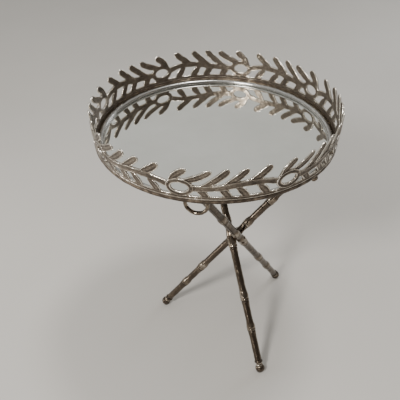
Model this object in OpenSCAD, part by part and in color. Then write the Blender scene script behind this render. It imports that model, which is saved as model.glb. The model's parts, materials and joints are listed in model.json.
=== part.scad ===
// Tray table: a round mirror tray with a pierced laurel-leaf gallery, resting loose on a
// tripod of three crossed rods cast to look like bamboo.
// Millimetres, +Z up. The origin is on the floor, under the centre of the tray.

/* [Tray] */
// Outer diameter of the tray over its lower rim
tray_d = 480; // [470:5:490]
// Height of the rim's lower edge above the floor
rim_z = 522; // [510:1:535]
// Height of the rim band
rim_h = 10; // [9:0.5:12]
// Height of the leaf tips above the rim's lower edge
gallery_h = 73; // [66:1:80]
// How far the gallery leans outward over its height
gallery_flare = 5; // [0:1:7]
// Thickness of the gallery castings
gallery_t = 3.5; // [2.5:0.5:4]
// Diameter of the round bead that holds the mirror
bead_d = 10.5; // [9:0.5:11]
// Thickness of the mirror glass
mirror_t = 3; // [2:0.5:4]

/* [Stand] */
// Diameter of the rods
rod_d = 16; // [14:0.5:17]
// Diameter of the rods' knuckles
knuckle_d = 20; // [18:0.5:20.4]
// Radius of the circle that the feet stand on
foot_r = 183; // [170:1:190]
// Sideways shift that lets the rods pass each other
skew = 12.75; // [12.75:0.25:14]
// Direction of the left foot, in degrees from +X
stand_turn = 171; // [165:1:177]
// Place of the stand's centre along X, the tray sitting off-centre on it
stand_x = 49; // [40:1:52]
// Place of the stand's centre along Y
stand_y = -21; // [-24:1:-10]

/* [Hanging ring] */
// Radius of the ring to the middle of its wire
ring_r = 21; // [19:0.5:22]
// Diameter of the ring's wire
ring_d = 7.5; // [7:0.5:8]
// Distance of the ring's eye from the tray's centre
ring_place_r = 188; // [187.5:0.5:190]
// Direction of the ring's eye, in degrees from +X
ring_place_a = -102; // [-103:1:-101]
// Turn of the ring's plane, in degrees from +X
ring_turn = -16; // [-20:1:-10]

/* [Hidden] */
$fn = 48;
LEGS = ["left", "front", "back"];
leg_turn = [0, 120, -120];
branch_n = 8;

silver = [0.66, 0.63, 0.57];
bronze = [0.42, 0.36, 0.29];
tray_r = tray_d / 2;
fit_gap = 0.05;
lift_gap = 0.3;

// Tray section, heights measured from the rim's lower edge
roll_r = 4.5;
ledge_top = -mirror_t;
ledge_t = 2;
ledge_low = ledge_top - ledge_t;
ledge_in_r = 208;
board_t = 5;
board_low = ledge_low - board_t;
board_r = 219;
mirror_r = 228;
screw_place_r = 213.5;
screw_r = 1.9;
screw_head_r = 3.6;
screw_head_t = 1.8;
ball_r = 7;
ball_place_r = 228;
ball_turn = -40;

// Rods: each runs from its foot over the middle to the far side of the tray
rod_r = rod_d / 2;
lean = atan2(2 * foot_r, rim_z);
rod_len = norm([2 * foot_r, rim_z]);
seat_t = 3;
seat_pad_t = 2;
seat_r = 11;
seat_low = rim_z + board_low - lift_gap - seat_pad_t - seat_t;
// Each knuckle: where its groove lies along the rod, and how far it bulges above the groove
knuckles = [[0.158, 24], [0.269, 28], [0.466, 42], [0.555, 24], [0.685, 28]];
knuckle_flare = 16;
cut_size = 600;
spigot_r = 5;
spigot_from = 17;
spigot_to = 31;
glide_t = 3;
glide_r = 8;
ball_s = 11;
knob_r = 10.5;
rivet_r = 2;
rivet_head_r = 3.6;
collar_r = 10;
collar_len = 11;

// Gallery: a branch spans one cell, whose drawing starts a little before its oval window
cell = 360 / branch_n;
first_window = 29;
cell_from = -5.5;
cell_mid = cell_from + cell / 2;
rail_h = 6.5;
window_z = 32.5;
leaf_end_z = gallery_h - 7.8;

// Eye of the hanging ring
eye_r = 7.5;
eye_len = 6;
eye_play = 0.75;
flange_r = 8.5;
flange_t = 2;
pivot_z = rim_z + board_low - flange_t - eye_r + 1;

function leg_a(k) = stand_turn + leg_turn[k];
function leg_mid(k) =
    [stand_x + skew * sin(leg_a(k)), stand_y - skew * cos(leg_a(k)), rim_z / 2];
function leg_dir(k) = [-2 * foot_r * cos(leg_a(k)), -2 * foot_r * sin(leg_a(k)), rim_z];
function leg_at(k, z) = leg_mid(k) + leg_dir(k) * (z / rim_z - 0.5);

// Share of leg i's run, counted from its middle, where it comes closest to leg j
function meet(i, j) =
    let (d = leg_mid(j) - leg_mid(i), a = leg_dir(i), b = leg_dir(j))
    let (aa = a * a, bb = b * b, ab = a * b)
    ((d * a) * bb - (d * b) * ab) / (aa * bb - ab * ab);
function meet_point(i, j) = leg_mid(i) + leg_dir(i) * meet(i, j);

// Swell of a knuckle at distance s above its groove, from 0 to 1: a flare below the groove,
// a narrow ring just above it, and a bulge of length long that fades into the rod
function ease(x) = x <= 0 ? 0 : x >= 1 ? 1 : x * x * (3 - 2 * x);
function notch(x) = abs(x) < 1 ? pow(cos(90 * x), 2) : 0;
function swell(s, long) =
    ease(abs(s) / 2.5) * (s < 0 ? 0.5 * ease(1 + s / knuckle_flare)
                                : ease((long - s) / 16) - 0.25 * notch((s - 6) / 2.5));
function knuckle_r(s, long) = rod_r + (knuckle_d / 2 - rod_r) * swell(s, long);

module on_leg(k) {
    translate([stand_x + skew * sin(leg_a(k)), stand_y - skew * cos(leg_a(k)), 0])
        rotate([0, 0, leg_a(k)])
            translate([foot_r, 0, 0])
                rotate([0, -lean, 0])
                    children();
}

module along(from, way, h) {
    translate(from)
        rotate([0, acos(way[2] / norm(way)), atan2(way[1], way[0])])
            translate([0, 0, -h / 2])
                children();
}

// Everything above a level, for cutting
module above(z) {
    translate([-cut_size / 2, -cut_size / 2, z]) cube(cut_size);
}

module rivet_line(k, r, h) {
    j = (k + 1) % 3;
    middle = (meet_point(k, j) + meet_point(j, k)) / 2;
    along(middle, cross(leg_dir(k), leg_dir(j)), h)
        cylinder(r = r, h = h);
}

// A rod with its knuckles, a spigot at the foot, cut level under its seat
module rod(k) {
    close = [-2.5, -1.2, 0, 1.2, 2.5, 3.5, 4.5, 6, 7.5, 9];
    swells = [for (t = knuckles)
                  for (s = concat([for (i = [-knuckle_flare:3:-4]) i], close, [for (i = [12:3:t[1]]) i]))
                      [knuckle_r(s, t[1]), t[0] * rod_len + s]];
    side = concat([[rod_r, spigot_to]], swells, [[rod_r, rod_len]]);
    profile = concat([[0, spigot_from], [spigot_r, spigot_from], [spigot_r, spigot_to]], side,
                     [[0, rod_len]]);
    color(silver)
        difference() {
            on_leg(k) rotate_extrude() polygon(profile);
            above(seat_low - fit_gap);
            rivet_line(k, rivet_r + fit_gap, 3 * knuckle_d);
            rivet_line((k + 2) % 3, rivet_r + fit_gap, 3 * knuckle_d);
        }
}

// Turned knob at the foot of a rod: a ball with a smaller swelling above it, cut level below
module foot_knob(k) {
    neck_r = 7.2;
    ring_s = 27;
    ring_round = 3.6;
    ball = [for (a = [-90:10:45]) [knob_r * cos(a), ball_s + knob_r * sin(a)]];
    ring = [for (a = [-60:15:75]) [6 + ring_round * cos(a), ring_s + ring_round * sin(a)]];
    profile = concat(ball, [[neck_r, 20.5], [neck_r, 22]], ring, [[0, spigot_to]]);
    color(silver)
        difference() {
            on_leg(k) rotate_extrude() polygon(profile);
            on_leg(k)
                translate([0, 0, spigot_from - 1])
                    cylinder(r = spigot_r + fit_gap, h = 30);
            above(glide_t - cut_size);
        }
}

module foot_glides() {
    bevel = 0.8;
    profile = [[0, 0], [glide_r - bevel, 0], [glide_r, bevel], [glide_r, glide_t], [0, glide_t]];
    color([0.2, 0.2, 0.2])
        for (k = [0:2])
            translate([leg_at(k, ball_s * cos(lean))[0], leg_at(k, ball_s * cos(lean))[1], 0])
                rotate_extrude() polygon(profile);
}

// Rivets that pin each pair of rods together where their middle knuckles touch
module cross_rivets() {
    reach = knuckle_d + 2 * meet_gap() + 0.4;
    color(bronze)
        for (k = [0:2]) {
            rivet_line(k, rivet_r, reach + 2);
            rivet_head(k, reach / 2, 1);
            rivet_head(k, reach / 2, -1);
        }
}
function meet_gap() = norm(meet_point(0, 1) - meet_point(1, 0)) / 2;
module rivet_head(k, out, side) {
    j = (k + 1) % 3;
    way = cross(leg_dir(k), leg_dir(j)) * side;
    middle = (meet_point(k, j) + meet_point(j, k)) / 2;
    along(middle + way / norm(way) * (out + 0.5), way, 1)
        cylinder(r1 = rivet_head_r, r2 = rivet_head_r - 1, h = 1);
}

// Seat on top of a rod: a flat disc with a collar that the rod's end sits in
module seat(k) {
    c = leg_at(k, seat_low);
    color(bronze)
        difference() {
            union() {
                translate([c[0], c[1], seat_low]) cylinder(r = seat_r, h = seat_t);
                intersection() {
                    on_leg(k)
                        translate([0, 0, seat_low / cos(lean) - collar_len])
                            cylinder(r = collar_r, h = 2 * collar_len);
                    above(seat_low + 1 - cut_size);
                }
            }
            difference() {
                on_leg(k)
                    translate([0, 0, seat_low / cos(lean) - 2 * collar_len])
                        cylinder(r = rod_r + fit_gap, h = 4 * collar_len);
                above(seat_low);
            }
        }
}

module seat_pads() {
    color([0.25, 0.3, 0.26])
        for (k = [0:2]) {
            c = leg_at(k, seat_low);
            translate([c[0], c[1], seat_low + seat_t]) cylinder(r = seat_r - 1, h = seat_pad_t);
        }
}

// Rim: a rounded band with an inward ledge that carries the mirror
module tray_rim() {
    roll = [for (a = [-90:15:0]) [tray_r - roll_r + roll_r * cos(a), roll_r + roll_r * sin(a)]];
    profile = concat(
        [[ledge_in_r, ledge_low], [tray_r - 9, ledge_low], [tray_r - 6.5, 0]],
        roll,
        [[tray_r - 0.5, rim_h - 0.6], [tray_r - 1.1, rim_h], [tray_r - 4, rim_h]],
        [[tray_r - 4.5, rim_h - 0.6], [tray_r - 5.5, 2], [tray_r - 9, ledge_top], [ledge_in_r, ledge_top]]);
    color(bronze)
        translate([0, 0, rim_z])
            difference() {
                rotate_extrude($fn = 96) polygon(profile);
                base_screw_holes();
                for (k = [0:2])
                    rotate([0, 0, ball_turn + 120 * k])
                        translate([ball_place_r, 0, ledge_low - 1]) cylinder(r = 1.55, h = 1.6);
            }
}

// Gallery. Its drawing is laid flat: u is degrees round the tray from the oval window,
// z is height above the rim's lower edge
function flat(u, z) = [tray_r * (u - cell_mid) * PI / 180, z];
function onto(p) = [tray_r * sin(p[0] * 180 / PI / tray_r), p[1]];
function bend_at(a, c, b, t) = (1 - t) * (1 - t) * a + 2 * t * (1 - t) * c + t * t * b;
function side_at(a, c, b, t) =
    let (d = (1 - t) * (c - a) + t * (b - c)) [-d[1], d[0]] / norm(d);

// A leaf along a bent centre line from a to b: it widens from its foot and ends in a blunt oval
module leaf(a, b, w, lift) {
    n = 9;
    c = (a + b) / 2 + lift * side_at(a, (a + b) / 2, b, 0.5);
    tip_way = (b - c) / norm(b - c);
    tip_side = [-tip_way[1], tip_way[0]];
    half = [for (i = [0:n]) w / 2 * (0.42 + 0.58 * ease(i / n / 0.6))];
    left = [for (i = [0:n]) onto(bend_at(a, c, b, i / n) + half[i] * side_at(a, c, b, i / n))];
    tip = [for (t = [75:-15:-75]) onto(b + w * (0.7 * cos(t) * tip_way + 0.5 * sin(t) * tip_side))];
    right = [for (i = [n:-1:0]) onto(bend_at(a, c, b, i / n) - half[i] * side_at(a, c, b, i / n))];
    polygon(concat(left, tip, right));
}
module stem(a, b, w, lift) {
    n = 8;
    c = (a + b) / 2 + lift * side_at(a, (a + b) / 2, b, 0.5);
    left = [for (i = [0:n]) onto(bend_at(a, c, b, i / n) + w / 2 * side_at(a, c, b, i / n))];
    right = [for (i = [n:-1:0]) onto(bend_at(a, c, b, i / n) - w / 2 * side_at(a, c, b, i / n))];
    polygon(concat(left, right));
}
module window_frame() {
    half_w = 15;
    half_h = 9;
    edge = 9;
    mid = flat(0, window_z);
    difference() {
        polygon([for (a = [0:15:345]) onto(mid + [(half_w + edge) * cos(a), (half_h + edge) * sin(a)])]);
        polygon([for (a = [0:15:345]) onto(mid + [half_w * cos(a), half_h * sin(a)])]);
    }
}
module rail_and_foot() {
    polygon([onto(flat(cell_from, rim_h)), onto(flat(cell_from + cell, rim_h)),
             onto(flat(cell_from + cell, rim_h + rail_h)), onto(flat(cell_from, rim_h + rail_h))]);
    polygon([onto(flat(-5, 14)), onto(flat(5, 14)), onto(flat(3.5, 20)), onto(flat(-3.5, 20))]);
}

// One branch of laurel: wavy stem, five free leaves above and four leaves down to the rail
module cast() {
    rotate([90, 0, 90])
        translate([0, 0, tray_r * 0.85])
            linear_extrude(height = tray_r * 0.2) children();
}
module branch_pattern() {
    cast() window_frame();
    cast() rail_and_foot();
    cast() stem(flat(4.6, 33), flat(20, 38), 12.5, -3);
    cast() stem(flat(19, 38), flat(30, 43), 12.5, 2.5);
    cast() stem(flat(29, 43), flat(40, 34.5), 12, 5);
    cast() leaf(flat(-4.2, 42), flat(1, leaf_end_z), 14, 3);
    cast() leaf(flat(-1, 45), flat(10.8, leaf_end_z - 1), 13, -7);
    cast() leaf(flat(8.5, 37), flat(17.9, leaf_end_z), 13.5, -5);
    cast() leaf(flat(16.5, 38), flat(25.4, leaf_end_z), 13.5, -4);
    cast() leaf(flat(26.5, 43), flat(34.7, leaf_end_z), 14, -4);
    for (u = [6.4, 15.5, 22.6, 31.2])
        cast() leaf(flat(u, 36), flat(u + 3.6, 20), 14.5, 2);
}

module gallery_branch(k) {
    low_r = tray_r - 4;
    wall = [[low_r, rim_h], [low_r + gallery_t, rim_h],
            [low_r + gallery_t + gallery_flare, gallery_h], [low_r + gallery_flare, gallery_h]];
    color(silver)
        translate([0, 0, rim_z])
            rotate([0, 0, first_window + cell_mid + cell * (k - 1)])
                intersection() {
                    rotate_extrude($fn = 96) polygon(wall);
                    branch_pattern();
                    rotate([0, 0, -cell / 2]) cube([300, 300, 200]);
                    rotate([0, 0, cell / 2]) translate([0, -300, 0]) cube([300, 300, 200]);
                }
}

// Bright round bead that holds the mirror's edge
module bead_ring() {
    bead_r = bead_d / 2;
    place_r = tray_r * 0.921 + bead_r;
    color([0.85, 0.85, 0.84])
        translate([0, 0, rim_z])
            rotate_extrude($fn = 96)
                polygon([for (a = [-25:15:205]) [place_r + bead_r * cos(a),
                                                 max(0.05, 2.2 + bead_r * sin(a))]]);
}

module mirror_glass() {
    color([0.75, 0.77, 0.76])
        translate([0, 0, rim_z + ledge_top]) cylinder(r = mirror_r, h = mirror_t, $fn = 96);
}

module mirror_pad() {
    color([0.2, 0.22, 0.2])
        translate([0, 0, rim_z + ledge_low]) cylinder(r = ledge_in_r - 1, h = ledge_t, $fn = 96);
}

module base_screw_holes() {
    for (k = [0:7])
        rotate([0, 0, 22.5 + 45 * k])
            translate([screw_place_r, 0, board_low - 1])
                cylinder(r = screw_r + fit_gap, h = board_t + ledge_t);
}

module base_board() {
    color([0.3, 0.22, 0.15])
        translate([0, 0, rim_z])
            difference() {
                translate([0, 0, board_low]) cylinder(r = board_r, h = board_t, $fn = 96);
                base_screw_holes();
            }
}

module base_screws() {
    color(bronze)
        translate([0, 0, rim_z])
            for (k = [0:7])
                rotate([0, 0, 22.5 + 45 * k])
                    translate([screw_place_r, 0, 0]) {
                        translate([0, 0, board_low]) cylinder(r = screw_r, h = board_t + ledge_t - 1.2);
                        translate([0, 0, board_low - screw_head_t])
                            cylinder(r1 = screw_head_r - 0.8, r2 = screw_head_r, h = screw_head_t);
                    }
}

// Ball foot under the rim, for standing the lifted-off tray on a table
module ball_foot(k) {
    neck_r = 4;
    neck_low = ledge_low - 1.2;
    pin_r = 1.5;
    pin_top = ledge_low + 0.5;
    ball_z = neck_low - sqrt(ball_r * ball_r - neck_r * neck_r);
    start = acos(neck_r / ball_r);
    ball = [for (a = [-90:12:start]) [ball_r * cos(a), ball_z + ball_r * sin(a)]];
    color(silver)
        translate([0, 0, rim_z])
            rotate([0, 0, ball_turn + 120 * (k - 1)])
                translate([ball_place_r, 0, 0])
                    rotate_extrude()
                        polygon(concat(ball, [[neck_r, neck_low], [neck_r, ledge_low],
                                              [pin_r, ledge_low], [pin_r, pin_top], [0, pin_top]]));
}

// Hanging ring and the eye that it swings in
function ring_place() = [ring_place_r * cos(ring_place_a), ring_place_r * sin(ring_place_a), pivot_z];

module ring_eye() {
    color(bronze)
        translate(ring_place())
            rotate([0, 0, ring_turn])
                difference() {
                    union() {
                        rotate([0, 90, 0]) translate([0, 0, -eye_len / 2]) cylinder(r = eye_r, h = eye_len);
                        translate([0, 0, eye_r - 1]) cylinder(r = flange_r, h = flange_t);
                    }
                    rotate([0, 90, 0])
                        translate([0, 0, -eye_len]) cylinder(r = ring_d / 2 + eye_play, h = 2 * eye_len);
                }
}

module drop_ring() {
    color(silver)
        translate(ring_place())
            rotate([0, 0, ring_turn])
                translate([0, 0, -ring_r])
                    rotate([90, 0, 0])
                        rotate_extrude($fn = 64)
                            translate([ring_r, 0]) circle(d = ring_d, $fn = 32);
}

for (k = [0:2])
    rod(k);
for (k = [0:2])
    foot_knob(k);
foot_glides();
cross_rivets();
for (k = [0:2])
    seat(k);
seat_pads();
tray_rim();
for (k = [1:branch_n])
    gallery_branch(k);
bead_ring();
mirror_glass();
mirror_pad();
base_board();
base_screws();
for (k = [1:3])
    ball_foot(k);
ring_eye();
drop_ring();
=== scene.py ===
"""Looks of the tray table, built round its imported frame, in the frame's own axes: metres, +Z up."""
import json
import math

import bpy
import numpy as np
from mathutils import Matrix, Vector, noise


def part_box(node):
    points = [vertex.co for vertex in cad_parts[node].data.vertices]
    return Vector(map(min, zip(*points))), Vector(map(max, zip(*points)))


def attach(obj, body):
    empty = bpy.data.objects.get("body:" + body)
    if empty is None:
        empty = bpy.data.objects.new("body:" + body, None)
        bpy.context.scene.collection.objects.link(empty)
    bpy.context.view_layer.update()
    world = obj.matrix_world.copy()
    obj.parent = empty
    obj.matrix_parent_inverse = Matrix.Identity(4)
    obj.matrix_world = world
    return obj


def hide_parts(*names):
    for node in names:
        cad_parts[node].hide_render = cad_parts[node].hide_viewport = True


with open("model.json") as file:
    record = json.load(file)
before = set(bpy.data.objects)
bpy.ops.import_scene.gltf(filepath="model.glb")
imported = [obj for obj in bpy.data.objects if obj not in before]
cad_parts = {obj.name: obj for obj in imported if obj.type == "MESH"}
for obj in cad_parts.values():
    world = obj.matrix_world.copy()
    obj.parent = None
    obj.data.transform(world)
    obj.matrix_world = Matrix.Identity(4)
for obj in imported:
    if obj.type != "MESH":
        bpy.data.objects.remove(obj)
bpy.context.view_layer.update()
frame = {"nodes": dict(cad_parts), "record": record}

MM = 0.001

# Sizes and slots read off the frame
RIM_LOW, RIM_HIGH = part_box("tray_rim")
TRAY_R = RIM_HIGH.x
RIM_H = 10 * MM
RIM_Z = RIM_HIGH.z - RIM_H
GALLERY_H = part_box("gallery_branch_1")[1].z - RIM_Z
SLOTS = {part["node"]: part["material_slot"] for part in frame["record"]["subparts"]}

# The stand, as in the CAD source. A knuckle is the share of the rod's length at which its groove
# lies, and the length of the bulge above the groove in millimetres.
LEGS = ("left", "front", "back")
LEG_TURNS = (0, 120, -120)
STAND_TURN = 171
STAND_AT = (0.049, -0.021)
FOOT_R = 0.183
SKEW = 0.01275
LEAN = math.atan2(2 * FOOT_R, RIM_Z)
ROD_LEN = math.hypot(2 * FOOT_R, RIM_Z)
ROD_R = 8 * MM
KNUCKLE_R = 10 * MM
KNUCKLES = ((0.158, 24), (0.269, 28), (0.466, 42), (0.555, 24), (0.685, 28))
KNUCKLE_FLARE = 16 * MM
KNUCKLE_FADE = 16 * MM
GROOVE = 1.6 * MM
SPIGOT_LOW = 17 * MM
SPIGOT_TOP = 31 * MM

# The gallery, as in the CAD source. Its drawing is laid flat: degrees round from a window, and
# millimetres above the rim's lower edge.
BRANCHES = 8
FIRST_WINDOW = 29
CELL = 360 / BRANCHES
CELL_FROM = -5.5
CELL_MID = CELL_FROM + CELL / 2
WALL_R = TRAY_R - 2.25 * MM
WALL_FLARE = 5 * MM
RAIL_Z = 13
WINDOW_Z = 32.5
LEAF_Z = 65

# The hanging ring, as in the CAD source
RING_R = 21 * MM
RING_WIRE_R = 3.75 * MM
RING_TURN = -16

TRAY_SIDES = 640
POLE_R = 0.2 * MM  # turned pieces stop just short of their axis


# ---------------------------------------------------------------- node and mesh helpers

def set_inputs(tree, made, inputs):
    for name, value in inputs.items():
        if isinstance(value, bpy.types.NodeSocket):
            tree.links.new(value, made.inputs[name])
        else:
            made.inputs[name].default_value = value


def node(tree, kind, inputs=None, **settings):
    """Adds a node; inputs are values or the sockets that feed them."""
    made = tree.nodes.new(kind)
    for name, value in settings.items():
        setattr(made, name, value)
    set_inputs(tree, made, inputs or {})
    return made


def ramp_of(tree, value, stops):
    """A colour ramp over value, from (place, colour) stops."""
    ramp = node(tree, "ShaderNodeValToRGB", {"Fac": value})
    elements = ramp.color_ramp.elements
    while len(elements) < len(stops):
        elements.new(0.5)
    for element, (at, colour) in zip(elements, stops):
        element.position = at
        element.color = (*colour, 1)
    return ramp.outputs["Color"]


def noise_of(tree, place, scale, detail, roughness=0.55):
    return node(tree, "ShaderNodeTexNoise", {"Vector": place, "Scale": scale, "Detail": detail,
                                             "Roughness": roughness}).outputs["Fac"]


def maths(tree, operation, a, b, clamp=False):
    return node(tree, "ShaderNodeMath", {0: a, 1: b}, operation=operation,
                use_clamp=clamp).outputs["Value"]


def span(tree, value, low, high, to_low, to_high):
    return node(tree, "ShaderNodeMapRange", {"Value": value, "From Min": low, "From Max": high,
                                             "To Min": to_low, "To Max": to_high}).outputs["Result"]


def bump_of(tree, height, strength, distance):
    return node(tree, "ShaderNodeBump", {"Height": height, "Strength": strength,
                                         "Distance": distance}).outputs["Normal"]


def new_material(name):
    """A material with an empty shader, and the place on the object that its textures read."""
    mat = bpy.data.materials.new(name)
    mat.use_nodes = True
    tree = mat.node_tree
    tree.nodes.clear()
    shader = node(tree, "ShaderNodeBsdfPrincipled")
    node(tree, "ShaderNodeOutputMaterial", {"Surface": shader.outputs["BSDF"]})
    place = node(tree, "ShaderNodeTexCoord").outputs["Object"]
    return mat, tree, shader, place


def make_object(name, verts, faces):
    mesh = bpy.data.meshes.new(name)
    mesh.from_pydata([tuple(map(float, v)) for v in verts], [], [tuple(map(int, f)) for f in faces])
    mesh.update()
    made = bpy.data.objects.new(name, mesh)
    bpy.context.scene.collection.objects.link(made)
    return made


def coords_of(mesh):
    packed = np.empty(len(mesh.vertices) * 3, np.float32)
    mesh.vertices.foreach_get("co", packed)
    return packed.reshape(-1, 3).astype(float)


def normals_of(mesh):
    packed = np.empty(len(mesh.vertices) * 3, np.float32)
    mesh.vertex_normals.foreach_get("vector", packed)
    return packed.reshape(-1, 3).astype(float)


def edges_of(mesh):
    packed = np.empty(len(mesh.edges) * 2, np.int32)
    mesh.edges.foreach_get("vertices", packed)
    return packed.reshape(-1, 2)


def relaxed(points, edges, passes, pull=0.5):
    """The points moved towards the mean of their neighbours."""
    count = np.bincount(edges.ravel(), minlength=len(points))[:, None]
    for _ in range(passes):
        total = np.stack([np.bincount(edges[:, 0], points[edges[:, 1], axis], len(points))
                          + np.bincount(edges[:, 1], points[edges[:, 0], axis], len(points))
                          for axis in range(3)], 1)
        points = (1 - pull) * points + pull * total / np.maximum(count, 1)
    return points


def ridges_of(mesh, passes=14, depth=0.28 * MM):
    """For each vertex, how far it stands proud of its smoothed surroundings, from -1 to 1."""
    points = coords_of(mesh)
    proud = ((points - relaxed(points, edges_of(mesh), passes)) * normals_of(mesh)).sum(1)
    return np.clip((proud - np.median(proud)) / depth, -1, 1)


def set_wear_and_sheen(mesh, values):
    layer = mesh.attributes.new("wear_and_sheen", "FLOAT", "POINT")
    layer.data.foreach_set("value", values.astype(np.float32))


def roughen(mesh, depth, grain, seed):
    """Pushes the surface in and out a little along its normals, as on a hand-finished casting."""
    points = coords_of(mesh)
    push = np.array([noise.noise(Vector(p) / grain + Vector((seed, 0, 0))) for p in points])
    points += normals_of(mesh) * (push * depth)[:, None]
    mesh.vertices.foreach_set("co", points.astype(np.float32).ravel())
    mesh.update()


def tie(piece, mat, body, replaced):
    """Gives a piece its material and ties it to the frame, in place of a CAD node."""
    piece.data.materials.append(mat)
    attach(piece, body)
    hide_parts(replaced)


def finish_casting(piece, mat, body, replaced, depth, grain, seed=0.0):
    """Roughens and shades a metal piece, gives it a wear map if it has none, and ties it."""
    roughen(piece.data, depth, grain, seed)
    if "wear_and_sheen" not in piece.data.attributes:
        set_wear_and_sheen(piece.data, ridges_of(piece.data))
    piece.data.shade_smooth()
    tie(piece, mat, body, replaced)


def ease(x):
    """Rises smoothly from 0 to 1 as x does."""
    x = np.clip(x, 0, 1)
    return x * x * (3 - 2 * x)


def hill(x, width):
    """A bump that is 1 at x = 0 and has died away by about twice its width."""
    return np.exp(-(x / width) ** 2)


def full_turn(count):
    return np.linspace(0, 2 * math.pi, count, endpoint=False)


def arc(x, y, r, start, stop, step):
    """A round stretch of an outline, in steps of degrees."""
    return [(x + r * math.cos(a), y + r * math.sin(a)) for a in np.radians(np.arange(start, stop, step))]


def joined(shapes):
    """One (verts, faces) from several."""
    verts, faces, start = [], [], 0
    for shape_verts, shape_faces in shapes:
        verts.append(np.asarray(shape_verts))
        faces += [tuple(i + start for i in face) for face in shape_faces]
        start += len(shape_verts)
    return np.concatenate(verts), faces


def tube(rings, close_path=False):
    """Faces round a run of rings, each a closed loop of points; open ends get a cap."""
    count, sides = rings.shape[:2]
    index = np.arange(count * sides).reshape(count, sides)
    after = np.roll(index, -1, 0) if close_path else index[1:]
    before = index if close_path else index[:-1]
    quads = np.stack([before, after, np.roll(after, -1, 1), np.roll(before, -1, 1)], -1)
    faces = [tuple(q) for q in quads.reshape(-1, 4)]
    if not close_path:
        faces += [tuple(index[0]), tuple(index[-1][::-1])]
    return rings.reshape(-1, 3), faces


def outline(points, step, rounding=1, closed=False):
    """A polyline resampled about every step, with its corners rounded a little."""
    points = np.asarray(points, float)
    if closed:
        points = np.vstack([points, points[:1]])
    run = np.concatenate([[0], np.cumsum(np.linalg.norm(np.diff(points, axis=0), axis=1))])
    count = max(int(round(run[-1] / step)), 4)
    at = np.linspace(0, run[-1], count + 1)
    even = np.stack([np.interp(at, run, points[:, axis]) for axis in (0, 1)], 1)
    if closed:
        even = even[:-1]
        for _ in range(rounding):
            even = (np.roll(even, 1, 0) + 2 * even + np.roll(even, -1, 0)) / 4
    else:
        for _ in range(rounding):
            even[1:-1] = (even[:-2] + 2 * even[1:-1] + even[2:]) / 4
    return even


def turned(profile, sides, closed=False):
    """A body of revolution about +Z from (radius, height) points, anticlockwise in section."""
    angles = full_turn(sides)
    profile = np.asarray(profile, float)
    rings = np.stack([np.outer(np.cos(angles), profile[:, 0]), np.outer(np.sin(angles), profile[:, 0]),
                      np.tile(profile[:, 1], (sides, 1))], -1)
    if closed:
        verts, faces = tube(rings, close_path=True)
        return verts, [face[::-1] for face in faces]
    return tube(rings.transpose(1, 0, 2))


def remeshed(verts, faces, voxel):
    """A mesh that is one skin over overlapping closed shapes."""
    rough = make_object("rough", verts, faces)
    wrap = rough.modifiers.new("skin", "REMESH")
    wrap.mode = "VOXEL"
    wrap.voxel_size = voxel
    skin = bpy.data.meshes.new_from_object(rough.evaluated_get(bpy.context.evaluated_depsgraph_get()))
    bpy.data.objects.remove(rough)
    return skin


# ---------------------------------------------------------------- materials

def aged_metal(name, tones, wear_and_sheen_share, blotch, rough, pits):
    """Plated casting with a brown patina. Its tones run from the hollows to the worn ridges, and
    rough is the roughness of the ridges and of the hollows. On the rods the tone map also holds
    painted light: lighter knuckles are partly a painted highlight, and the whole rod is made darker
    as a painted reflection of a dark floor. wear_and_sheen_share and blotch are how far that map and a
    cloudy noise move the tone, and pits is how deep the pitting looks."""
    mat, tree, shader, place = new_material(name)
    wear_and_sheen = node(tree, "ShaderNodeAttribute", attribute_name="wear_and_sheen").outputs["Fac"]
    cloud = noise_of(tree, place, 48, 4, 0.6)
    speck = noise_of(tree, place, 520, 3, 0.7)
    speck_share = 0.14
    shade = maths(tree, "ADD", maths(tree, "MULTIPLY", wear_and_sheen, wear_and_sheen_share), 0.5)
    shade = maths(tree, "ADD", shade, span(tree, cloud, 0.3, 0.7, -blotch / 2, blotch / 2))
    shade = maths(tree, "ADD", shade, span(tree, speck, 0.3, 0.7, -speck_share, speck_share), clamp=True)
    places = np.linspace(0.08, 0.92, len(tones))
    set_inputs(tree, shader, {
        "Base Color": ramp_of(tree, shade, tuple(zip(places, tones))),
        "Metallic": span(tree, shade, 0.1, 0.55, 0.6, 1.0),
        "Roughness": span(tree, shade, 0.1, 0.9, rough[1], rough[0]),
    })
    pit = node(tree, "ShaderNodeTexVoronoi", {"Vector": place, "Scale": 620, "Randomness": 1.0},
               feature="SMOOTH_F1").outputs["Distance"]
    grain = noise_of(tree, place, 330, 4, 0.65)
    height = maths(tree, "ADD", maths(tree, "MULTIPLY", pit, 0.7), grain)
    set_inputs(tree, shader, {"Normal": bump_of(tree, height, pits, 0.5 * MM)})
    return mat


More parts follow.
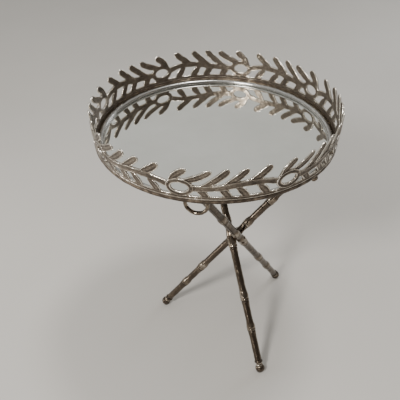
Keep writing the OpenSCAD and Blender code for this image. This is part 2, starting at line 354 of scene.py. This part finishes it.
def make_materials():
    # The rod tones are dark, partly the metal's own colour and partly a painted reflection of a dark
    # floor.
    silver_tones = ((0.035, 0.026, 0.019), (0.085, 0.065, 0.048), (0.22, 0.183, 0.143), (0.66, 0.61, 0.54))
    leaf_tones = ((0.045, 0.036, 0.028), (0.155, 0.128, 0.103), (0.30, 0.26, 0.216), (0.78, 0.735, 0.66))
    rim_tones = ((0.06, 0.045, 0.033), (0.19, 0.15, 0.112), (0.35, 0.29, 0.228), (0.62, 0.555, 0.465))
    bead_tones = ((0.20, 0.195, 0.185), (0.38, 0.375, 0.365), (0.54, 0.535, 0.52), (0.74, 0.735, 0.72))
    dark_tones = ((0.03, 0.022, 0.016), (0.09, 0.068, 0.05), (0.20, 0.16, 0.12), (0.36, 0.30, 0.23))
    return {
        "rod_metal": aged_metal("rod_metal", silver_tones, 0.48, 0.36, (0.1, 0.27), 0.12),
        "leaf_metal": aged_metal("leaf_metal", leaf_tones, 0.6, 0.4, (0.2, 0.46), 0.4),
        "rim_metal": aged_metal("rim_metal", rim_tones, 0.5, 0.5, (0.26, 0.5), 0.3),
        "bead_metal": aged_metal("bead_metal", bead_tones, 0.3, 0.4, (0.12, 0.3), 0.06),
        "dark_metal": aged_metal("dark_metal", dark_tones, 0.45, 0.5, (0.32, 0.55), 0.3),
        "mirror": mirror_material(),
        "felt": felt_material(),
        "board": board_material(),
        "rubber": rubber_material(),
    }


def mirror_material():
    mat, tree, shader, place = new_material("mirror")
    smear = noise_of(tree, place, 9, 5, 0.6)
    set_inputs(tree, shader, {
        "Base Color": ramp_of(tree, smear, ((0.35, (0.84, 0.84, 0.80)), (0.65, (0.90, 0.90, 0.86)))),
        "Metallic": 1.0,
        "Roughness": span(tree, smear, 0.35, 0.7, 0.015, 0.05),
    })
    return mat


def felt_material():
    mat, tree, shader, place = new_material("felt")
    fibre = noise_of(tree, place, 900, 5, 0.75)
    set_inputs(tree, shader, {
        "Base Color": ramp_of(tree, fibre, ((0.3, (0.035, 0.05, 0.04)), (0.7, (0.09, 0.12, 0.10)))),
        "Roughness": 0.95,
        "Sheen Weight": 0.4,
        "Normal": bump_of(tree, fibre, 0.6, 0.5 * MM),
    })
    return mat


def board_material():
    mat, tree, shader, place = new_material("board")
    fibre = noise_of(tree, place, 260, 6, 0.8)
    cloud = noise_of(tree, place, 14, 3)
    mix = maths(tree, "ADD", maths(tree, "MULTIPLY", fibre, 0.6), maths(tree, "MULTIPLY", cloud, 0.4))
    set_inputs(tree, shader, {
        "Base Color": ramp_of(tree, mix, ((0.3, (0.055, 0.036, 0.024)), (0.7, (0.14, 0.095, 0.065)))),
        "Roughness": span(tree, fibre, 0.3, 0.7, 0.55, 0.8),
        "Normal": bump_of(tree, fibre, 0.35, 0.4 * MM),
    })
    return mat


def rubber_material():
    mat, tree, shader, place = new_material("rubber")
    grain = noise_of(tree, place, 700, 4, 0.7)
    set_inputs(tree, shader, {
        "Base Color": ramp_of(tree, grain, ((0.3, (0.012, 0.012, 0.012)), (0.7, (0.03, 0.03, 0.03)))),
        "Roughness": span(tree, grain, 0.3, 0.7, 0.6, 0.8),
        "Normal": bump_of(tree, grain, 0.3, 0.3 * MM),
    })
    return mat


# ---------------------------------------------------------------- camera, floor and light

def make_camera():
    """The camera that was fitted to the photo's view of the table."""
    at = (-0.0324, -0.9612, 1.0845)
    looks_down = 37.366
    rolls = -0.738
    data = bpy.data.cameras.new("camera")
    data.lens = 49.5
    data.sensor_width = 36
    camera = bpy.data.objects.new("camera", data)
    bpy.context.scene.collection.objects.link(camera)
    camera.matrix_world = (Matrix.Translation(at)
                           @ Matrix.Rotation(math.radians(90 - looks_down), 4, "X")
                           @ Matrix.Rotation(math.radians(rolls), 4, "Z"))
    bpy.context.scene.camera = camera


def make_light(name, at, aim, size, watts, colour):
    data = bpy.data.lights.new(name, "AREA")
    data.shape = "DISK"
    data.size = size
    data.energy = watts
    data.color = colour
    lamp = bpy.data.objects.new(name, data)
    lamp.location = at
    lamp.rotation_euler = (Vector(aim) - Vector(at)).to_track_quat("-Z", "Y").to_euler()
    bpy.context.scene.collection.objects.link(lamp)


def make_lights():
    table = (0, 0, 0.45)
    make_light("key", (-1.25, -1.8, 2.1), table, 0.5, 56, (1, 0.965, 0.91))
    make_light("top", (0.35, 0.25, 2.6), table, 0.45, 20, (1, 0.98, 0.95))
    make_light("side", (2.0, 2.2, 1.3), table, 0.9, 12, (0.93, 0.965, 1))
    make_light("low_left", (-2.1, -0.35, 0.28), (0, 0, 0.25), 0.45, 9, (1, 0.97, 0.93))
    make_light("low_front", (-1.1, -2.3, 0.4), (0, 0, 0.2), 0.3, 3, (1, 0.97, 0.93))


def make_world():
    """A sky that is warm grey, and brighter towards one side."""
    world = bpy.data.worlds.new("studio")
    world.use_nodes = True
    tree = world.node_tree
    tree.nodes.clear()
    place = node(tree, "ShaderNodeTexCoord").outputs["Generated"]
    bright_side = (-0.42, 0.55, 0.72)
    facing = node(tree, "ShaderNodeVectorMath", {0: place, 1: bright_side}, operation="DOT_PRODUCT")
    sky = ramp_of(tree, span(tree, facing.outputs["Value"], -1, 1, 0, 1),
                  ((0.0, (0.07, 0.06, 0.055)), (0.35, (0.17, 0.155, 0.14)), (0.6, (0.36, 0.345, 0.32)),
                   (0.85, (0.60, 0.595, 0.565)), (1.0, (0.68, 0.675, 0.65))))
    background = node(tree, "ShaderNodeBackground", {"Color": sky, "Strength": 1.0})
    node(tree, "ShaderNodeOutputWorld", {"Surface": background.outputs["Background"]})
    bpy.context.scene.world = world


def make_floor():
    reach = 6
    corners = [(-reach, -reach, 0), (reach, -reach, 0), (reach, reach, 0), (-reach, reach, 0)]
    floor = make_object("floor", corners, [(0, 1, 2, 3)])
    mat, tree, shader, place = new_material("floor")
    tone = noise_of(tree, place, 1.3, 3)
    set_inputs(tree, shader, {"Base Color": ramp_of(tree, tone, ((0.3, (0.60, 0.58, 0.55)),
                                                                (0.7, (0.64, 0.62, 0.59)))),
                              "Roughness": 0.75})
    floor.data.materials.append(mat)


# ---------------------------------------------------------------- gallery

def flat(u, z):
    """A point of the laid-out drawing in metres, from degrees round and millimetres up."""
    return np.array([TRAY_R * math.radians(u - CELL_MID), z * MM])


def curve(a, b, lift, count):
    """Points on a curve from a to b, and their share of the way along it. Its control point lies
    lift millimetres to the left of the middle."""
    side = np.array([-(b - a)[1], (b - a)[0]]) / np.linalg.norm(b - a)
    control = (a + b) / 2 + lift * MM * side
    t = np.linspace(0, 1, count)[:, None]
    return (1 - t) ** 2 * a + 2 * t * (1 - t) * control + t * t * b, t[:, 0]


def strip(path, half, heights, sides=40, close_path=False):
    """A closed bar with rounded corners along a flat path. heights(share, s) gives how far it
    stands out in front and behind, at a share of its length and at s across it, from -1 to 1."""
    square_across, square_deep = 0.42, 0.4
    way = np.gradient(path, axis=0)
    if close_path:
        way = np.roll(path, -1, 0) - np.roll(path, 1, 0)
    way /= np.linalg.norm(way, axis=1)[:, None]
    side = np.stack([-way[:, 1], way[:, 0]], 1)
    turn = full_turn(sides)
    across = np.sign(np.cos(turn)) * np.abs(np.cos(turn)) ** square_across
    round_off = np.abs(np.sin(turn)) ** square_deep
    rings = np.empty((len(path), sides, 3))
    for i in range(len(path)):
        out, back = heights(i / (len(path) - 1), across)
        depth = np.where(np.sin(turn) >= 0, out, -back) * round_off
        flat_at = path[i] + np.outer(across * half[i], side[i])
        rings[i, :, 0] = flat_at[:, 0]
        rings[i, :, 1] = depth
        rings[i, :, 2] = flat_at[:, 1]
    return tube(rings, close_path)


def leaf(a, b, width, lift, twist=0.0):
    """A leaf with a blunt end, a raised outline, a hollow blade, a midrib and slanting veins."""
    foot_share, widest_at, tip_share = 0.42, 0.6, 0.7
    path, t = curve(a, b, lift, 48)
    width *= MM
    end_way = (path[-1] - path[-2]) / np.linalg.norm(path[-1] - path[-2])
    beyond = np.sin(np.linspace(0, math.pi / 2, 15)[1:-1])
    path = np.vstack([path, path[-1] + np.outer(tip_share * width * beyond, end_way)])
    half = width / 2 * np.concatenate([foot_share + (1 - foot_share) * ease(t / widest_at),
                                       np.sqrt(1 - beyond ** 2)])

    def heights(share, s):
        fade = math.sin(math.pi * min(max(share, 0.02), 0.98)) ** 0.4
        raised_edge = hill(np.abs(s) - 0.84, 0.15)
        midrib = 0.45 * hill(s, 0.12)
        veins = 0.3 * np.cos(2 * math.pi * (6.5 * share - 0.9 * np.abs(s))).clip(0) ** 3
        hollow = 0.75 * (1 - s * s)
        relief = raised_edge + midrib + veins * (np.abs(s) < 0.68) - hollow
        tilt = twist * s * share
        thick = 1.95 - 0.3 * share
        return (thick + fade * relief + tilt) * MM, (thick - 0.1 * fade * (1 - s * s) - tilt) * MM
    return strip(path, half, heights)


def stem(a, b, width, lift):
    """A wavy stem with raised edges and a rounded back."""
    path, t = curve(a, b, lift, 60)
    half = width / 2 * MM * (1 + 0.06 * np.sin(9 * t))

    def heights(share, s):
        raised_edge, channel = 0.75 * hill(np.abs(s) - 0.8, 0.2), 0.35 * hill(s, 0.4)
        return (2.1 + raised_edge - channel) * MM, (2.0 - 0.1 * (1 - s * s)) * MM
    return strip(path, half, heights)


def window_frame():
    """The oval frame of a window, with a rolled inner and outer edge."""
    half_long, half_high, half_wide = 19.8 * MM, 13.8 * MM, 4.9 * MM
    turn = full_turn(120)
    path = flat(0, WINDOW_Z) + np.stack([half_long * np.cos(turn), half_high * np.sin(turn)], 1)

    def heights(share, s):
        rolled_edge, channel = 0.9 * hill(np.abs(s) - 0.72, 0.25), 0.45 * hill(s, 0.35)
        return (2.0 + rolled_edge - channel) * MM, (1.95 - 0.1 * (1 - s * s)) * MM
    return strip(path, np.full(len(path), half_wide), heights, close_path=True)


def rail():
    """The half-round rail that the branch is cast on, standing a little proud of the rim."""
    half_high = 3.6 * MM
    t = np.linspace(0, 1, 200)[:, None]
    path = (1 - t) * flat(CELL_FROM, RAIL_Z) + t * flat(CELL_FROM + CELL, RAIL_Z)

    def heights(share, s):
        lower_round, upper_lip = 1.3 * hill(s + 0.45, 0.4), 0.4 * hill(s - 0.75, 0.2)
        return (1.7 + lower_round + upper_lip) * MM, np.full_like(s, 1.9 * MM)
    return strip(path, np.full(len(path), half_high), heights, 36)


def window_foot():
    """The plain web between a window's frame and the rail, which widens downwards."""
    half_at_top = 9.5 * MM
    path, t = curve(flat(0, 21), flat(0, RAIL_Z - 2), 0, 20)

    def heights(share, s):
        return np.full_like(s, 1.9 * MM), np.full_like(s, 1.8 * MM)
    return strip(path, half_at_top * (1 + t ** 2), heights, 32)


def branch_skin():
    """One laurel branch laid flat, as a mesh: x along the rim, y outward, z up."""
    shapes = [window_frame(), rail(), window_foot(),
              stem(flat(4.6, 33), flat(20, 38), 12.5, -3),
              stem(flat(19, 38), flat(30, 43), 12.5, 2.5),
              stem(flat(29, 43), flat(40, 34.5), 12, 5),
              leaf(flat(-4.2, 42), flat(1, LEAF_Z), 14.5, 3, 0.5),
              leaf(flat(-1, 45), flat(10.8, LEAF_Z - 1), 13.5, -7, 0.7),
              leaf(flat(8.5, 37), flat(17.9, LEAF_Z), 14, -5, -0.5),
              leaf(flat(16.5, 38), flat(25.4, LEAF_Z), 14, -4, 0.6),
              leaf(flat(26.5, 43), flat(34.7, LEAF_Z), 14.5, -4, -0.6)]
    lower_from, lower_to, lower_slant = 36, 20, 3.6
    for u in (6.4, 15.5, 22.6, 31.2):
        shapes.append(leaf(flat(u, lower_from), flat(u + lower_slant, lower_to), 14.5, 2))
    verts, faces = joined(shapes)
    skin = remeshed(verts, faces, 0.62 * MM)
    points = relaxed(coords_of(skin), edges_of(skin), 2, 0.4)
    skin.vertices.foreach_set("co", points.astype(np.float32).ravel())
    skin.update()
    set_wear_and_sheen(skin, ridges_of(skin, 30, 0.5 * MM))
    return skin


def bent(points, turn):
    """The laid-out drawing bent round the tray onto the wall that leans outward."""
    radius = WALL_R + points[:, 1] + WALL_FLARE * (points[:, 2] - RIM_H) / (GALLERY_H - RIM_H)
    angle = points[:, 0] / TRAY_R + math.radians(turn)
    return np.stack([radius * np.cos(angle), radius * np.sin(angle), RIM_Z + points[:, 2]], 1)


def make_gallery(mats):
    """The same branch, bent on to the wall once for each window."""
    skin = branch_skin()
    laid = coords_of(skin)
    for k in range(BRANCHES):
        mesh = skin.copy()
        mesh.name = f"branch_{k + 1}"
        points = bent(laid, FIRST_WINDOW + CELL_MID + CELL * k)
        mesh.vertices.foreach_set("co", points.astype(np.float32).ravel())
        mesh.update()
        branch = bpy.data.objects.new(f"branch_{k + 1}", mesh)
        bpy.context.scene.collection.objects.link(branch)
        finish_casting(branch, mats["leaf_metal"], "tray", f"gallery_branch_{k + 1}", 0.45 * MM, 7 * MM)
    bpy.data.meshes.remove(skin)


# ---------------------------------------------------------------- tray

def make_rim(mats):
    """An L-shaped band: a wall with a rolled lower edge, and the ledge that the mirror lies on."""
    low, edge, top = RIM_LOW.z - RIM_Z, TRAY_R, RIM_H
    ledge_in, ledge_top = 208 * MM, -3 * MM
    wall_in = edge - 9 * MM
    roll_r = 4.5 * MM
    section = [(ledge_in, low), (wall_in, low), (edge - 6.5 * MM, 0),
               *arc(edge - roll_r, roll_r, roll_r, -90, 1, 15),
               (edge - 0.4 * MM, top - 2 * MM), (edge - 1.4 * MM, top), (edge - 4 * MM, top),
               (edge - 4.6 * MM, top - 0.6 * MM), (edge - 5.5 * MM, 2 * MM), (wall_in, ledge_top),
               (ledge_in, ledge_top)]
    verts, faces = turned(outline(section, 0.9 * MM, 2, True), TRAY_SIDES, True)
    rim = make_object("rim", verts + np.array([0, 0, RIM_Z]), faces)
    finish_casting(rim, mats["rim_metal"], "tray", "tray_rim", 0.35 * MM, 11 * MM)


def make_bead(mats):
    """The round bar that holds the mirror down, cut flat where it lies on the glass."""
    low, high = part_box("bead_ring")
    bead_r = 5.25 * MM
    flat_z, centre_z = low.z - RIM_Z, high.z - bead_r - RIM_Z
    section = [(r, max(flat_z, z)) for r, z in arc(high.x - bead_r, centre_z, bead_r, -25, 206, 8)]
    verts, faces = turned(outline(section, 0.7 * MM, 1, True), TRAY_SIDES, True)
    bead = make_object("bead", verts + np.array([0, 0, RIM_Z]), faces)
    finish_casting(bead, mats["bead_metal"], "tray", "bead_ring", 0.12 * MM, 16 * MM)


def make_mirror(mats):
    low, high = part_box("mirror_glass")
    radius, thick = high.x, high.z - low.z
    bevel = 0.5 * MM
    section = [(POLE_R, 0), (radius - bevel, 0), (radius, bevel), (radius, thick - bevel),
               (radius - bevel, thick), (POLE_R, thick)]
    verts, faces = turned(section, 256)
    mirror = make_object("mirror", verts + np.array([0, 0, low.z]), faces)
    tie(mirror, mats["mirror"], "tray", "mirror_glass")


def make_ball_feet(mats):
    """Three balls under the rim, each with a neck and a pin that runs up into it."""
    neck_r, neck_up = 3.6 * MM, 6.2 * MM
    pin_r, pin_up = 4.2 * MM, 6.9 * MM
    for k in range(3):
        low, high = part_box(f"ball_foot_{k + 1}")
        centre = (low + high) / 2
        ball_r = (high.x - low.x) / 2
        ball_z = low.z + ball_r
        top_z = high.z - 0.5 * MM
        section = arc(0, ball_z, ball_r, -88, 61, 6)
        section += [(neck_r, ball_z + neck_up), (pin_r, ball_z + pin_up), (pin_r, top_z), (POLE_R, top_z)]
        verts, faces = turned(outline(section, 0.55 * MM), 64)
        foot = make_object(f"ball_{k + 1}", verts + np.array([centre.x, centre.y, 0]), faces)
        finish_casting(foot, mats["rim_metal"], "tray", f"ball_foot_{k + 1}", 0.3 * MM, 4 * MM)


def make_ring(mats):
    """The hanging ring, upright and turned to lie in its eye; its wire is slightly oval."""
    low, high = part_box("drop_ring")
    centre = np.array((low + high) / 2)
    turn, section = full_turn(160), full_turn(32)
    wire = RING_WIRE_R * (1 - 0.05 * np.cos(2 * section))
    every = np.ones(len(turn))
    reach = RING_R + np.outer(every, wire * np.cos(section))
    rings = np.stack([reach * np.cos(turn)[:, None], np.outer(every, wire * np.sin(section)),
                      reach * np.sin(turn)[:, None]], -1)
    verts, faces = tube(rings, True)
    a = math.radians(RING_TURN)
    spin = np.array([[math.cos(a), -math.sin(a), 0], [math.sin(a), math.cos(a), 0], [0, 0, 1]])
    ring = make_object("ring", verts @ spin.T + centre, faces)
    finish_casting(ring, mats["rod_metal"], "ring", "drop_ring", 0.3 * MM, 6 * MM)


# ---------------------------------------------------------------- stand

def on_leg(k, verts):
    """Points round an upright leg, put where leg k stands: foot out, leaning inward, and set
    aside by SKEW so that the three rods pass each other."""
    turn = math.radians(STAND_TURN + LEG_TURNS[k])
    foot = (STAND_AT[0] + SKEW * math.sin(turn), STAND_AT[1] - SKEW * math.cos(turn), 0)
    place = (Matrix.Translation(foot) @ Matrix.Rotation(turn, 4, "Z")
             @ Matrix.Translation((FOOT_R, 0, 0)) @ Matrix.Rotation(-LEAN, 4, "Y"))
    matrix = np.array(place)
    return verts @ matrix[:3, :3].T + matrix[:3, 3]


def swell(s, long):
    """Swell of a knuckle at s above its groove, from 0 to 1: a flare below the groove, then a
    narrow ring, a finer second groove and a bulge that fades out at long."""
    floor_share, groove_half, second_at = 0.12, 2 * MM, 6 * MM
    above = ease((long - s) / KNUCKLE_FADE) - 0.3 * hill(s - second_at, GROOVE)
    below = 0.5 * ease(1 + s / KNUCKLE_FLARE)
    groove = floor_share + (1 - floor_share) * ease(np.abs(s) / groove_half)
    return groove * np.where(s < 0, below, above)


def rod_radius(s):
    """Radius of a rod at heights s, with its knuckles."""
    radius = np.full_like(s, ROD_R)
    for place, long in KNUCKLES:
        away = s - place * ROD_LEN
        near = (away > -KNUCKLE_FLARE) & (away < long * MM)
        radius += np.where(near, (KNUCKLE_R - ROD_R) * swell(away, long * MM), 0)
    return radius


def make_rod(k, mats):
    """A knuckled rod with a spigot at its foot. Near the top its rings tilt, until the end is level."""
    spigot_r = 5 * MM
    tilt_over = 60 * MM
    sides = 56
    axis_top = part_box(f"rod_{LEGS[k]}")[1].z / math.cos(LEAN)
    s = np.concatenate([[SPIGOT_LOW, SPIGOT_LOW + MM, SPIGOT_TOP - 0.3 * MM],
                        np.arange(SPIGOT_TOP, axis_top, 0.85 * MM)])
    radius = np.where(s < SPIGOT_TOP - 0.1 * MM, spigot_r, rod_radius(s))
    turn = full_turn(sides)
    rings = np.stack([np.outer(radius, np.cos(turn)), np.outer(radius, np.sin(turn)),
                      np.outer(s, np.ones(sides))], -1)
    tilt = ease((s - axis_top + tilt_over) / tilt_over)[:, None]
    rings[:, :, 2] -= tilt * rings[:, :, 0] * math.tan(LEAN)
    verts, faces = tube(rings)
    rod = make_object(f"bamboo_{LEGS[k]}", on_leg(k, verts), faces)
    grooves = sum(hill(s - place * ROD_LEN, GROOVE) for place, _ in KNUCKLES)
    # Tone map of the rod: the knuckle bulges lighter, partly from rubbing and partly as a painted
    # highlight; darker in the grooves; and the whole rod 0.3 darker, a painted reflection of a dark floor.
    knuckle_sheen_and_wear = 0.6 * (radius - ROD_R).clip(0) / (KNUCKLE_R - ROD_R) - 0.3 - 1.1 * grooves
    set_wear_and_sheen(rod.data, np.repeat(knuckle_sheen_and_wear, sides).clip(-1, 1))
    finish_casting(rod, mats["rod_metal"], "stand", f"rod_{LEGS[k]}", 0.3 * MM, 8 * MM, seed=3.1 * k)


def make_knob(k, mats):
    """A turned foot: a ball cut off above its glide, a neck, and a ring under the rod."""
    ball_r, ball_s, floor_z = 10.5 * MM, 11 * MM, 3 * MM
    ring_r, ring_s, ring_out = 3.6 * MM, 27 * MM, 6 * MM
    neck = [(7 * MM, 21 * MM), (6.9 * MM, 22.3 * MM)]
    section = (arc(0, ball_s, ball_r, -88, 49, 5) + neck
               + arc(ring_out, ring_s, ring_r, -65, 76, 8) + [(POLE_R, SPIGOT_TOP)])
    verts, faces = turned(outline(section, 0.55 * MM), 72)
    verts = on_leg(k, verts)
    verts[:, 2] = np.maximum(verts[:, 2], floor_z)
    knob = make_object(f"knob_{LEGS[k]}", verts, faces)
    finish_casting(knob, mats["rod_metal"], "stand", f"foot_knob_{LEGS[k]}", 0.35 * MM, 5 * MM)


def dress_cad_nodes(mats):
    """CAD nodes whose shape is right keep it and get their material."""
    for name, part in frame["nodes"].items():
        part.data.materials.clear()
        part.data.materials.append(mats[SLOTS[name]])


make_camera()
make_world()
make_lights()
make_floor()
materials = make_materials()
dress_cad_nodes(materials)
make_gallery(materials)
make_rim(materials)
make_bead(materials)
make_mirror(materials)
make_ball_feet(materials)
make_ring(materials)
for leg in range(3):
    make_rod(leg, materials)
    make_knob(leg, materials)
